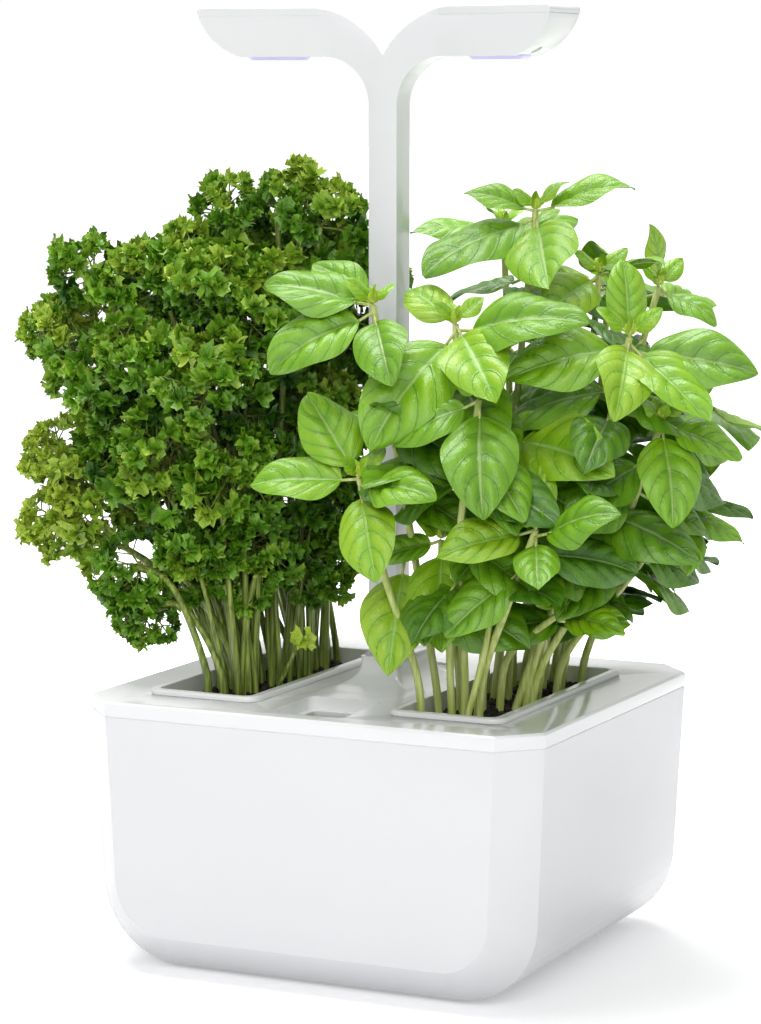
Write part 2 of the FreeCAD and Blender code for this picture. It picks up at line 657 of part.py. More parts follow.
def lamp_cable():
    """Two wires, up the column and out to the boards, each straight runs joined by arcs."""
    made = []
    for _, side in SIDES:
        x = 1.25
        start, bend = Vector(x, CHANNEL_Y, 101.0), Vector(x, CHANNEL_Y, 310.5)
        slope = Vector(28 - x, 0, 328.0 - 310.5).normalize()
        end = bend + slope * 27
        turn = Vector(0, 0, 1).getAngle(slope)
        cut = 3.6 * math.tan(turn / 2)
        arc_in, arc_out = bend - Vector(0, 0, cut), bend + slope * cut
        inward = (slope - Vector(0, 0, 1)).normalize()
        centre = bend + inward * (3.6 / math.cos(turn / 2))
        middle = centre + (bend - centre).normalize() * 3.6
        path = Part.Wire([
            Part.LineSegment(start, arc_in).toShape(),
            Part.Arc(arc_in, middle, arc_out).toShape(),
            Part.LineSegment(arc_out, end).toShape(),
        ])
        ring = Part.Wire(Part.makeCircle(CABLE_R, start, Vector(0, 0, 1)))
        made.append(mirrored(path.makePipeShell([ring], True, False), side))
    return Part.makeCompound(made)


def lamp_plug():
    block = box(-2.95, 2.95, CHANNEL_Y - 2.95, CHANNEL_Y + 2.95, COLUMN_BOTTOM, 101.0)
    pins = [cylinder(x, CHANNEL_Y, 92.0, COLUMN_BOTTOM, 0.6) for x in (-1.3, 1.3)]
    return block.fuse(pins)


def leaf(centre, azimuth, droop, length):
    """Thin pointed leaf, two arcs meeting at the tip, that starts at the heart of its sprig."""
    half = length * LEAF_WIDTH / 2
    a, b = Vector(LEAF_START, 0, -LEAF_T / 2), Vector(length, 0, -LEAF_T / 2)
    wire = Part.Wire([
        Part.Arc(a, Vector(length * 0.48, half, -LEAF_T / 2), b).toShape(),
        Part.Arc(b, Vector(length * 0.48, -half, -LEAF_T / 2), a).toShape(),
    ])
    blade = Part.Face(wire).extrude(Vector(0, 0, LEAF_T))
    blade.rotate(Vector(0, 0, 0), Vector(0, 1, 0), droop)
    blade.rotate(Vector(0, 0, 0), Vector(0, 0, 1), azimuth)
    blade.translate(centre)
    return blade


def basil_leaves():
    """Each sprig is a small heart with its leaves set round it, a pair at a time."""
    blades = []
    for centre, leaves in BASIL_SPRIGS:
        for i, (azimuth, droop, length) in enumerate(leaves):
            base = Vector(*centre) + Vector(0, 0, -2.2 * (i // 2))
            blades.append(leaf(base, azimuth, droop, length))
        blades.append(Part.makeSphere(SPRIG_R, Vector(*centre)))
    apart = []
    for i, blade in enumerate(blades):
        for other in apart:
            if blade.BoundBox.intersect(other.BoundBox) and blade.distToShape(other)[0] < 1e-6:
                blade = max(blade.cut(other).Solids, key=lambda solid: solid.Volume)
        apart.append(blade)
    return Part.makeCompound(apart)


def clamp(value, low, high):
    return max(low, min(high, value))


def stalk(foot_x, foot_y, tip, radius):
    """Stem that stands nearly upright in its slot and then leans out to its tip."""
    x, y, z = tip
    side = math.copysign(1, foot_x)
    neck_x = side * clamp(abs(foot_x + (x - foot_x) * 0.1), SLOT_X0 + 3, SLOT_X1 - 3)
    neck_y = clamp(foot_y + (y - foot_y) * 0.1, SLOT_Y0 + 3, SLOT_Y1 - 3)
    rings = []
    for cx, cy, cz in ((foot_x, foot_y, SOIL_TOP), (neck_x, neck_y, NECK_Z), (x, y, z)):
        points = []
        for k in range(STEM_SIDES):
            turn = 2 * math.pi * k / STEM_SIDES
            points.append(Vector(cx + radius * math.cos(turn), cy + radius * math.sin(turn), cz))
        rings.append(Part.makePolygon(points + points[:1]))
    return Part.makeLoft(rings, True, True)


def basil_stems():
    """One stalk to each sprig, all rising from the soil of the right slot."""
    stalks = []
    for i, ((x, y, z), _) in enumerate(BASIL_SPRIGS):
        foot_x = clamp(46 + (x - 60) * 0.3, 34, 59)
        foot_y = clamp(y * 0.75, -50, 41)
        stalks.append(stalk(foot_x, foot_y, (x, y, z), BASIL_STEM_R))
    return Part.makeCompound(stalks)


def clump(centre, radius, turn):
    """Faceted ball with twenty flat faces, turned so that no two balls line up."""
    golden = (1 + math.sqrt(5)) / 2
    scale = radius / math.hypot(1, golden)
    corners = []
    for a in (-1, 1):
        for b in (-golden, golden):
            corners += [Vector(0, a, b), Vector(a, b, 0), Vector(b, 0, a)]
    faces = []
    for i, a in enumerate(corners):
        for j in range(i + 1, len(corners)):
            for k in range(j + 1, len(corners)):
                b, c = corners[j], corners[k]
                if max((a - b).Length, (b - c).Length, (c - a).Length) < 2.1:
                    loop = [a * scale, b * scale, c * scale, a * scale]
                    faces.append(Part.Face(Part.makePolygon(loop)))
    ball = Part.makeSolid(Part.makeShell(faces))
    ball.rotate(Vector(0, 0, 0), Vector(1, 2, 3), turn)
    ball.translate(Vector(*centre))
    return ball if ball.Volume > 0 else ball.reversed()


def parsley_foliage():
    clumps = [
        clump((x, y, z), r * 1.08, i * 37.0) for i, (x, y, z, r) in enumerate(PARSLEY_CLUMPS)
    ]
    return clumps[0].multiFuse(clumps[1:])


def parsley_stems():
    """Sheaf of stalks from the soil of the left slot into the clumps."""
    stalks = []
    for i in range(PARSLEY_STEMS):
        x, y, z, _ = PARSLEY_CLUMPS[(i * 5) % len(PARSLEY_CLUMPS)]
        foot_x = clamp(-46 + (x + 62) * 0.22, -59, -34)
        foot_y = clamp(y * 1.1 + 4 * math.sin(i * 2.4), -50, 41)
        stalks.append(stalk(foot_x, foot_y, (x, y, z), PARSLEY_STEM_R))
    return Part.makeCompound(stalks)


def main():
    os.makedirs("parts", exist_ok=True)
    save("tank_shell", tank_shell())
    for row, y in (("front", -FOOT_Y), ("back", FOOT_Y)):
        for name, side in SIDES:
            save(row + "_" + name + "_foot", foot(side * FOOT_X, y))
    save("deck_tray", deck_tray())
    save("chamber_cover", chamber_cover())
    save("chamber_seal", chamber_seal())
    save("chamber_screws", screws(chamber_screw_spots(), CHAMBER_BOTTOM, BOARD_Z + 6, 1.4))
    save("control_board", control_board())
    save("board_screws", screws(board_screw_spots(), BOARD_Z, BOARD_Z + 7, 1.0))
    save("board_parts", board_parts())
    save("tact_switch", tact_switch())
    save("timer_button", timer_button())
    save("power_jack", power_jack())
    save("jack_pin", jack_pin())
    save("column_socket", column_socket())
    save("collar_seal", collar_seal())
    save("float_cage", float_cage())
    save("float_body", float_body())
    save("float_rod", float_rod())
    save("lamp_housing", lamp_housing())
    for name, side in SIDES:
        save(name + "_tray", tray(side))
        save(name + "_substrate", substrate(side))
        save(name + "_wicks", wicks(side))
        save(name + "_arm_cover", arm_cover(side))
        save(name + "_heat_plate", heat_plate(side))
        save(name + "_led_board", led_board(side))
        save(name + "_leds", leds(side))
        save(name + "_lens", lens(side))
        save(name + "_lens_seal", lens_seal(side))
    save("arm_screws", arm_screws())
    save("lamp_cable", lamp_cable())
    save("lamp_plug", lamp_plug())
    save("basil_leaves", basil_leaves())
    save("basil_stems", basil_stems())
    save("parsley_foliage", parsley_foliage())
    save("parsley_stems", parsley_stems())


main()
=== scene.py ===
"""Looks of the countertop hydroponic garden: white mouldings, basil, parsley and soil."""

import json
import math
import random

import bpy
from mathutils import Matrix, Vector, noise

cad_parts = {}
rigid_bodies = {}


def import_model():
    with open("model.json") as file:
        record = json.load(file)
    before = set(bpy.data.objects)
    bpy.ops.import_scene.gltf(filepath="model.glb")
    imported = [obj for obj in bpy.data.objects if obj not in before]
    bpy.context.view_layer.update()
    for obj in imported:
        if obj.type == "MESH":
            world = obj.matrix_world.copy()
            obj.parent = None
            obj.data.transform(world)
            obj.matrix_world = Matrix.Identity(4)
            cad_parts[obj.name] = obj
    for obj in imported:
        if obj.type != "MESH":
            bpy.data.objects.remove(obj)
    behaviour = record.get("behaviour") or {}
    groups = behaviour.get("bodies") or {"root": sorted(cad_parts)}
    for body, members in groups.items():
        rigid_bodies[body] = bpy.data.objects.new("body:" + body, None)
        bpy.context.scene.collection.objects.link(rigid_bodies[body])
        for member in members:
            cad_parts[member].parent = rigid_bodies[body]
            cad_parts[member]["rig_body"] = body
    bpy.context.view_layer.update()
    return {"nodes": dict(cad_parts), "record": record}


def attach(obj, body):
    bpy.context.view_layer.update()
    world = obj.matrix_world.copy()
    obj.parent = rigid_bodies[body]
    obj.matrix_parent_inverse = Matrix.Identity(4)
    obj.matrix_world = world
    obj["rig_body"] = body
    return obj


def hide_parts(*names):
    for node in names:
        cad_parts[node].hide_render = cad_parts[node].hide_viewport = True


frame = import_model()
nodes = frame["nodes"]

MM = 0.001

# Camera: fitted to the photograph's straight edges
CAMERA_AT = (0.5040, -1.0585, 0.3046)
CAMERA_AZIMUTH = 25.715
CAMERA_ELEVATION = 7.189
CAMERA_LENS = 116.72
CAMERA_SHIFT = (0.0009, 0.0021)
CAMERA_CLIP = (0.05, 20.0)
SENSOR_WIDTH = 36.0

# Floor: how white the camera sees it, as (distance from the part in metres, strength)
FLOOR_SIZE = 60.0
FLOOR_COLOR = (0.86, 0.86, 0.87)
FLOOR_NEAR = (0.30, 0.34)
FLOOR_FAR = (0.65, 1.0)

# Lights: name, place, aimed at, width in metres, watts
WORLD_LIGHT = 0.33
LIGHTS = (
    ("key", (0.60, -1.70, 1.10), (0, 0, 0.15), 1.2, 16.2),
    ("top", (-0.25, 0.15, 1.60), (0, 0, 0.10), 1.0, 28.0),
    ("side", (1.50, 0.20, 1.30), (0, 0, 0.30), 0.6, 0.8),
)

# Sizes shared with the solids, in millimetres
SOIL_TOP = 89.0
SOIL_BOTTOM = 44.0
SLOT_X = (28.5, 64.5)
SLOT_Y = (-57.0, 48.0)
NECK_Z = 106.0

# Soil surface: its mound, how far from the walls it starts, and the crumbs on it
SOIL_SEED = 5
SOIL_MOUND = 4.5
SOIL_SLOPE = 9.0
SOIL_GRID = (36, 100)
CRUMBS = 420

# Plants: depth of the stems in the soil, and the way that the photographed side faces
FOOT_DEPTH = 1
VIEWER = Vector((0.43, -0.9, 0.1)).normalized()

# Basil: where each sprig sits, then its leaves as (azimuth, droop, length) in degrees and mm
BASIL_SPRIGS = (
    ((54, 0, 265), ((-162, -12, 26), (18, -12, 36), (-60, 30, 46), (-130, 25, 48), (110, 5, 34))),
    ((14, -46, 234), ((-172, -8, 40), (165, -26, 30), (-150, 32, 42), (-50, 42, 36))),
    ((42, -40, 228), ((155, -22, 28), (-42, 36, 42), (0, -4, 50), (-130, 52, 52))),
    ((97, -20, 224), ((130, -70, 28), (-80, 46, 38), (-18, 36, 42), (-150, 16, 44), (20, 10, 44))),
    ((78, -55, 162), ((115, -60, 26), (-143, 15, 36), (-10, -16, 36), (-65, 32, 28))),
    ((18, -65, 177), ((-165, 5, 38), (158, -45, 38), (-12, 5, 34), (-48, 55, 38))),
    ((88, 30, 238), ((-98, -70, 24), (0, 32, 26), (80, 10, 36), (170, 15, 32))),
    ((28, 32, 258), ((-135, 4, 36), (150, 10, 34), (60, -5, 34), (-30, 10, 30))),
    ((56, -52, 204), ((-62, 58, 46), (-160, 30, 34))),
    ((58, -32, 190), ((-12, 14, 46), (120, 10, 34))),
    ((108, -18, 196), ((-58, 60, 40), (10, 25, 30), (70, 20, 36))),
    ((104, 10, 164), ((15, 30, 26), (-60, 54, 28), (95, 20, 32))),
    ((76, -30, 130), ((-10, 10, 28), (-70, -40, 24), (40, 5, 26))),
    ((36, -38, 154), ((-65, 58, 42), (-165, 20, 24))),
    ((60, 54, 238), ((90, 25, 34), (0, 15, 40), (180, 12, 38), (-80, -35, 30))),
    ((96, 48, 196), ((75, 30, 40), (-10, 20, 38), (150, 25, 36), (110, 60, 34))),
    ((34, 50, 196), ((110, 35, 40), (30, 25, 36), (-150, 8, 26), (170, 50, 32))),
    ((66, 56, 158), ((95, 30, 34), (20, 30, 34), (160, 35, 34), (60, 65, 30))),
    ((46, 44, 128), ((130, 10, 28), (50, 15, 30), (-20, 5, 24))),
    ((73, 12, 243), ((-104, 22, 36), (-28, -8, 34), (100, 20, 36), (172, 4, 30))),
)
BASIL_SEED = 11
BASIL_AXIS = (58.0, 0.0)
BASIL_FEET = ((34, 59), (-50, 41))
BASIL_STEM_R = 1.5
HANGING_LEAF = (24, -42, 148)
PLAIN_STEMS = 15

# Pairs of leaves below each sprig, as shares of its stem, and the height where they end
LOWER_PAIRS = (0.95, 0.89, 0.82, 0.75, 0.67, 0.59, 0.50)
LOWEST_PAIR = 124

# Young pairs in the middle of a sprig, as (least length, greatest length, droop, tone)
YOUNG_PAIRS = ((10, 15, -38, 0.50), (6, 9, -52, 0.62))
BUDS = 5

# Room for the lower leaves: outer reach, the parsley's edge, the column, and the pedestal
# below a height; then the underside of the crown, which rises towards its outer side
REACH_X = 126
REACH_Y = 76
PARSLEY_EDGE_X = -24
COLUMN_X = 9
COLUMN_FRONT_Y = -36
PEDESTAL_ROOM = (36, 150)
CROWN_FRONT_Z = 116
CROWN_BACK_Z = 106
CROWN_SLOPE = 0.6
CROWN_SLOPE_X = 70

# Basil leaf: width by length, and its side veins
LEAF_ASPECT = 0.64
VEINS = 5.0
VEIN_SWEEP = 0.34
VEIN_CURVE = 1.5
PETIOLE_R = 0.62

# Parsley: clumps of leaflets as (x, y, z, radius)
PARSLEY_CLUMPS = (
    (-45, 5, 264, 13), (-30, 2, 258, 14), (-66, 0, 260, 12), (-74, -8, 243, 17),
    (-92, -10, 236, 17), (-56, -24, 232, 19), (-118, -8, 240, 13), (-132, -14, 219, 9),
    (-114, -10, 212, 18), (-86, -30, 208, 20), (-54, -34, 205, 20), (-40, -14, 226, 20),
    (-34, 18, 236, 21), (-98, -22, 184, 17), (-131, -12, 174, 10), (-112, -16, 160, 18),
    (-131, -12, 148, 10), (-74, -30, 176, 20), (-46, -30, 176, 19), (-34, 2, 190, 20),
    (-36, 10, 160, 19), (-84, -36, 138, 12), (-80, -36, 122, 9), (-60, -30, 148, 17),
    (-44, -24, 146, 15), (-34, 4, 138, 13), (-66, 28, 240, 21), (-98, 24, 214, 20),
    (-60, 44, 206, 21), (-90, 34, 178, 20), (-54, 40, 170, 20), (-76, 30, 148, 17),
    (-40, 34, 206, 18), (-118, 14, 186, 14),
)
PARSLEY_SEED = 23
PARSLEY_AXIS = (-62.0, -2.0, 180.0)
PARSLEY_FEET = ((-60, -33), (-52, 43))
PARSLEY_STALKS = 72
PARSLEY_STALK_R = 1.35
PARSLEY_PIECES = 4
PARSLEY_VEINS = 4.0
WILTED_LEAF = (-19, -34, 116)

# Parsley leaflet: its fan, its lobes and the cut of each lobe's edge
FAN = 112
LOBES = 3
LOBE_EDGE = (0.38, 0.88, 0.74, 1.02, 0.74, 0.88)

# Edges of the mouldings: angles in degrees, from which an edge is rounded or shaded sharp
WELD_GAP = 0.00001
FLAT_ANGLE = 0.6
BEVEL_ANGLE = 24.0
SHARP_ANGLE = 32.0
SKINS = {
    "tank_shell": (1.2, "tank_plastic"),
    "deck_tray": (0.5, "deck_plastic"),
    "left_tray": (0.4, "tray_plastic"),
    "right_tray": (0.4, "tray_plastic"),
    "lamp_housing": (0.7, "lamp_plastic"),
    "left_arm_cover": (0.6, "lamp_plastic"),
    "right_arm_cover": (0.6, "lamp_plastic"),
}
REPLACED = set(SKINS) | {
    "basil_leaves", "basil_stems", "parsley_foliage", "parsley_stems", "left_substrate", "right_substrate",
}


# Shader nodes; an output is passed on as a pair of its node and its name

def add(owner, kind, **settings):
    """Node in a material or world; settings are its sockets or its properties."""
    node = owner.node_tree.nodes.new(kind)
    for key, value in settings.items():
        if key in node.inputs:
            node.inputs[key].default_value = value
        else:
            setattr(node, key, value)
    return node


def join(owner, output, target, socket):
    source, name = output
    owner.node_tree.links.new(source.outputs[name], target.inputs[socket])


def math_node(owner, operation, *operands):
    """Math node; each operand is a number or an output."""
    node = add(owner, "ShaderNodeMath", operation=operation)
    for socket, operand in enumerate(operands):
        if isinstance(operand, tuple):
            join(owner, operand, node, socket)
        else:
            node.inputs[socket].default_value = operand
    return node, "Value"


def map_range(owner, output, start, end, low, high):
    """Output mapped from start..end to low..high."""
    node = add(owner, "ShaderNodeMapRange")
    for key, value in (("From Min", start), ("From Max", end), ("To Min", low), ("To Max", high)):
        node.inputs[key].default_value = value
    join(owner, output, node, "Value")
    return node, "Result"


def noise_node(mat, scale, detail=3.0):
    coords = add(mat, "ShaderNodeTexCoord")
    texture = add(mat, "ShaderNodeTexNoise", Scale=scale, Detail=detail)
    join(mat, (coords, "Object"), texture, "Vector")
    return texture, "Fac"


def ramp(mat, output, stops):
    node = add(mat, "ShaderNodeValToRGB")
    elements = node.color_ramp.elements
    while len(elements) < len(stops):
        elements.new(0.5)
    for element, (position, color) in zip(elements, stops):
        element.position = position
        element.color = (*color, 1)
    join(mat, output, node, "Fac")
    return node, "Color"


def blend_color(mat, factor, share, base, color):
    """Mix of a colour into another node's, by a share of the factor."""
    mixed = add(mat, "ShaderNodeMix", data_type="RGBA")
    join(mat, math_node(mat, "MULTIPLY", factor, share), mixed, 0)
    join(mat, base, mixed, 6)
    mixed.inputs[7].default_value = (*color, 1)
    return mixed, 2


# Materials

def material(name, color, roughness, **settings):
    """Principled material; settings are socket names with underscores for spaces."""
    mat = bpy.data.materials.new(name)
    mat.use_nodes = True
    shader = shader_of(mat)
    shader.inputs["Base Color"].default_value = (*color, 1)
    shader.inputs["Roughness"].default_value = roughness
    for key, value in settings.items():
        shader.inputs[key.replace("_", " ")].default_value = value
    return mat


def shader_of(mat):
    return mat.node_tree.nodes["Principled BSDF"]


def bump(mat, height, strength, distance):
    node = add(mat, "ShaderNodeBump", Strength=strength, Distance=distance)
    join(mat, height, node, "Height")
    join(mat, (node, "Normal"), shader_of(mat), "Normal")


def mottled(mat, scale, dark, light, smooth, rough):
    """Slight variation of colour and of roughness."""
    texture = noise_node(mat, scale)
    join(mat, ramp(mat, texture, ((0.3, dark), (0.7, light))), shader_of(mat), "Base Color")
    join(mat, map_range(mat, texture, 0.0, 1.0, smooth, rough), shader_of(mat), "Roughness")


def white_plastic(name, shade, roughness):
    """Glossy moulded white with faint flow marks and a fine skin texture."""
    low = tuple(c * 0.985 for c in shade)
    mat = material(name, shade, roughness, Coat_Weight=0.25, Coat_Roughness=0.12)
    mottled(mat, 18.0, low, shade, roughness * 0.85, roughness * 1.15)
    bump(mat, noise_node(mat, 900.0, 2.0), 0.05, 0.0002)
    return mat


def plain_part(name, color, roughness, **settings):
    """Small inner part with a slight mottle and a fine grain."""
    low = tuple(c * 0.8 for c in color)
    mat = material(name, color, roughness, **settings)
    mottled(mat, 120.0, low, color, roughness * 0.8, min(1, roughness * 1.2))
    bump(mat, noise_node(mat, 1500.0, 2.0), 0.12, 0.0002)
    return mat


def leaf_material(name, deep, fresh, young, vein, roughness, veins):
    """Leaf blade: tone runs from deep to young, and the veins follow the blade's own map: side veins darkened
    towards deep as painted shade in their grooves, and a pale midrib.
    """
    mat = material(name, fresh, roughness, Specular_IOR_Level=0.55)
    # The tone attribute holds each leaf's own tone together with painted light and shade from the mesh.
    tone = add(mat, "ShaderNodeAttribute", attribute_name="tone")
    mixed = math_node(mat, "MULTIPLY_ADD", noise_node(mat, 160.0), 0.3, (tone, "Fac"))
    blade = ramp(mat, mixed, ((0.1, deep), (0.55, fresh), (1.15, young)))

    uv = add(mat, "ShaderNodeUVMap", uv_map="blade")
    split = add(mat, "ShaderNodeSeparateXYZ")
    join(mat, (uv, "UV"), split, "Vector")
    side = math_node(mat, "ABSOLUTE", math_node(mat, "SUBTRACT", (split, "Y"), 0.5))
    curved = math_node(mat, "POWER", side, VEIN_CURVE)
    slant = math_node(mat, "MULTIPLY_ADD", curved, -VEIN_SWEEP * 2 ** VEIN_CURVE, (split, "X"))
    saw = math_node(mat, "PINGPONG", math_node(mat, "MULTIPLY", slant, veins), 0.5)
    thin = map_range(mat, saw, 0.0, 0.075, 0.75, 0.0)
    rib = map_range(mat, side, 0.010, 0.030, 1.0, 0.0)

    # Side veins darkened towards deep: painted shade in their grooves. The midrib is made paler below.
    color = blend_color(mat, thin, 0.55, blade, deep)
    color = blend_color(mat, rib, 0.45, color, vein)
    join(mat, color, shader_of(mat), "Base Color")
    lines = math_node(mat, "MAXIMUM", thin, rib)
    sunk = math_node(mat, "MULTIPLY_ADD", lines, -1.0, noise_node(mat, 1400.0, 2.0))
    bump(mat, sunk, 0.45, 0.0004)
    return mat


def stem_material(name, low, high, roughness):
    """Stem with fine lengthwise streaks and patches."""
    mat = material(name, high, roughness)
    coords = add(mat, "ShaderNodeTexCoord")
    stretch = add(mat, "ShaderNodeMapping", Scale=(900, 900, 60))
    texture = add(mat, "ShaderNodeTexNoise", Scale=1.0)
    join(mat, (coords, "Object"), stretch, "Vector")
    join(mat, (stretch, "Vector"), texture, "Vector")
    streaks = (texture, "Fac")
    join(mat, ramp(mat, streaks, ((0.35, low), (0.65, high))), shader_of(mat), "Base Color")
    bump(mat, streaks, 0.3, 0.0003)
    return mat


def soil_material():
    mat = material("growing_medium", (0.02, 0.014, 0.009), 0.85)
    crumbs = noise_node(mat, 500.0, 6.0)
    stops = ((0.3, (0.006, 0.004, 0.003)), (0.55, (0.022, 0.014, 0.008)), (0.75, (0.07, 0.045, 0.025)))
    join(mat, ramp(mat, crumbs, stops), shader_of(mat), "Base Color")
    bump(mat, crumbs, 0.9, 0.0012)
    return mat


def lens_material():
    """Milky lens with a cloudy lavender glow."""
    mat = material("diffuser", (0.45, 0.42, 0.62), 0.35)
    glow = ramp(mat, noise_node(mat, 60.0), ((0.3, (0.58, 0.52, 1.0)), (0.7, (0.72, 0.68, 1.0))))
    join(mat, glow, shader_of(mat), "Emission Color")
    shader_of(mat).inputs["Emission Strength"].default_value = 0.5
    return mat


MATERIALS = {
    "tank_plastic": white_plastic("tank_plastic", (0.80, 0.81, 0.825), 0.24),
    "deck_plastic": white_plastic("deck_plastic", (0.87, 0.875, 0.88), 0.2),
    "tray_plastic": white_plastic("tray_plastic", (0.85, 0.855, 0.85), 0.25),
    "lamp_plastic": white_plastic("lamp_plastic", (0.81, 0.82, 0.83), 0.28),
    "button_plastic": white_plastic("button_plastic", (0.78, 0.79, 0.80), 0.25),
    "foot_rubber": plain_part("foot_rubber", (0.55, 0.55, 0.55), 0.7),
    "inner_plastic": plain_part("inner_plastic", (0.70, 0.71, 0.72), 0.45),
    "seal_rubber": plain_part("seal_rubber", (0.62, 0.63, 0.64), 0.6),
    "screw_steel": plain_part("screw_steel", (0.45, 0.46, 0.48), 0.35, Metallic=1.0),
    "circuit_board": plain_part("circuit_board", (0.04, 0.20, 0.08), 0.4),
    "board_parts": plain_part("board_parts", (0.03, 0.03, 0.035), 0.45),
    "connector_plastic": plain_part("connector_plastic", (0.025, 0.025, 0.028), 0.4),
    "contact_metal": plain_part("contact_metal", (0.80, 0.66, 0.35), 0.3, Metallic=1.0),
    "float_foam": plain_part("float_foam", (0.75, 0.73, 0.68), 0.85),
    "float_tip": plain_part("float_tip", (0.35, 0.37, 0.39), 0.4),
    "heat_plate": plain_part("heat_plate", (0.75, 0.76, 0.77), 0.35, Metallic=1.0),
    "led_chips": plain_part("led_chips", (0.90, 0.80, 0.35), 0.4),
    "diffuser": lens_material(),
    "wire_jacket": plain_part("wire_jacket", (0.75, 0.75, 0.75), 0.5),
    "growing_medium": soil_material(),
    "wick_felt": plain_part("wick_felt", (0.72, 0.71, 0.66), 0.95),
    "basil_leaf": leaf_material(
        "basil_leaf", (0.042, 0.155, 0.001), (0.195, 0.435, 0.006), (0.46, 0.62, 0.03),
        (0.50, 0.68, 0.22), 0.36, VEINS
    ),
    "basil_stem": stem_material("basil_stem", (0.44, 0.54, 0.10), (0.68, 0.74, 0.30), 0.42),
    "parsley_leaf": leaf_material(
        "parsley_leaf", (0.014, 0.075, 0.002), (0.150, 0.370, 0.010), (0.48, 0.64, 0.06),
        (0.20, 0.40, 0.05), 0.42, PARSLEY_VEINS
    ),
    "parsley_stem": stem_material("parsley_stem", (0.09, 0.14, 0.012), (0.33, 0.42, 0.07), 0.45),
}


# Mesh helpers, which work in millimetres

class Heap:
    """Vertices, faces, blade map and tone of many small pieces that make one mesh."""

    def __init__(self):
        self.verts, self.faces, self.uvs, self.tones = [], [], [], []

    def point(self, spot, uv=(0, 0), tone=0):
        self.verts.append(tuple(spot))
        self.uvs.append(uv)
        self.tones.append(tone)

    def grid(self, rows, closed=False):
        """rows is a list of rows of (spot, uv, tone); neighbours are joined by quads."""
        start = len(self.verts)
        width = len(rows[0])
        for row in rows:
            for spot, uv, tone in row:
                self.point(spot, uv, tone)
        last = width if closed else width - 1
        for i in range(len(rows) - 1):
            for j in range(last):
                a = start + i * width + j
                b = start + i * width + (j + 1) % width
                self.faces.append((a, b, b + width, a + width))

    def cap(self, first, count, flip=False):
        """One face on count vertices from the first."""
        loop = range(first, first + count)
        self.faces.append(tuple(reversed(loop)) if flip else tuple(loop))

    def make(self, name, mat):
        """Object in metres, with one uv and one tone per vertex."""
        mesh = bpy.data.meshes.new(name)
        mesh.from_pydata([(x * MM, y * MM, z * MM) for x, y, z in self.verts], [], self.faces)
        layer = mesh.uv_layers.new(name="blade")
        for loop in mesh.loops:
            layer.data[loop.index].uv = self.uvs[loop.vertex_index]
        layer = mesh.attributes.new("tone", "FLOAT", "POINT")
        layer.data.foreach_set("value", self.tones)
        mesh.polygons.foreach_set("use_smooth", [True] * len(mesh.polygons))
        mesh.materials.append(mat)
        mesh.validate()
        obj = bpy.data.objects.new(name, mesh)
        bpy.context.scene.collection.objects.link(obj)
        return obj


def limit(value, low, high):
    return max(low, min(high, value))


def smooth_path(points, steps):
    """Catmull-Rom curve through the points."""
    pts = [Vector(p) for p in points]
    pts = [pts[0] * 2 - pts[1]] + pts + [pts[-1] * 2 - pts[-2]]
    path = []
    for i in range(1, len(pts) - 2):
        p0, p1, p2, p3 = pts[i - 1:i + 3]
        for k in range(steps):
            t = k / steps
            path.append(0.5 * (2 * p1 + (p2 - p0) * t + (2 * p0 - 5 * p1 + 4 * p2 - p3) * t * t
                               + (3 * p1 - p0 - 3 * p2 + p3) * t ** 3))
    path.append(pts[-2])
    return path


def tube(heap, path, radius, tone, sides=8, ribs=0.0, taper=0.8):
    """Closed tube along a path; ribs sets how deep its lengthwise ridges are."""
    rows = []
    normal = Vector((1, 0.2, 0)).normalized()
    for i, point in enumerate(path):
        ahead = path[min(i + 1, len(path) - 1)] - path[max(i - 1, 0)]
        ahead.normalize()
        normal = (normal - ahead * normal.dot(ahead)).normalized()
        other = ahead.cross(normal)
        grow = 1 - (1 - taper) * i / (len(path) - 1)
        ring = []
        for j in range(sides):
            turn = 2 * math.pi * j / sides
            r = radius * grow * (1 + (ribs if j % 2 else -ribs))
            spot = point + normal * (r * math.cos(turn)) + other * (r * math.sin(turn))
            ring.append((spot, (i / len(path), j / sides), tone))
        rows.append(ring)
    first = len(heap.verts)
    heap.grid(rows, closed=True)
    heap.cap(len(heap.verts) - sides, sides)
    heap.cap(first, sides, flip=True)


def aim(direction, up):
    """Axes of a piece that points along direction, with its face turned towards up."""
    x = Vector(direction).normalized()
    z = (Vector(up) - x * Vector(up).dot(x)).normalized()
    return x, z.cross(x), z


def heading(azimuth, droop):
    """Direction from the angle round the upright axis and the angle below level."""
    a, d = math.radians(azimuth), math.radians(droop)
    return Vector((math.cos(a) * math.cos(d), math.sin(a) * math.cos(d), -math.sin(d)))


# Basil

def blade_outline(t):
    """Half-width of a basil leaf from base to pointed tip, 1 at its widest."""
    widest = 0.42
    return (max(0.0, t) / widest) ** 0.66 * (max(0.0, 1 - t) / (1 - widest)) ** 0.91


